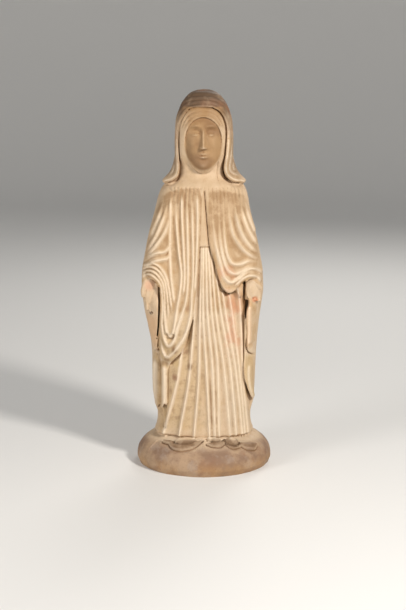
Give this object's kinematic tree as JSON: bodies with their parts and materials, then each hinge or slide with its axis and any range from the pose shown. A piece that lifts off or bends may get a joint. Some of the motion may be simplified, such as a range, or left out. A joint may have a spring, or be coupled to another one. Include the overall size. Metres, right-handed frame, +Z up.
{
  "type": "carved wooden madonna statue",
  "caption": "Aged wooden statue of a veiled madonna in a pleated gown and draped mantle, hands lowered, standing on an integral low dome base.",
  "frame": {"origin": "centre of the dome base's flat underside", "axes": "+Z up, the figure faces -Y, +X is the viewer's right"},
  "size_m": [0.2161, 0.2162, 0.6],
  "materials": {
    "aged_wood": "bare, worn and waxed, dull sheen"
  },
  "bodies": {
    "root": {"madonna_figure": "aged_wood"}
  },
  "joints": []
}
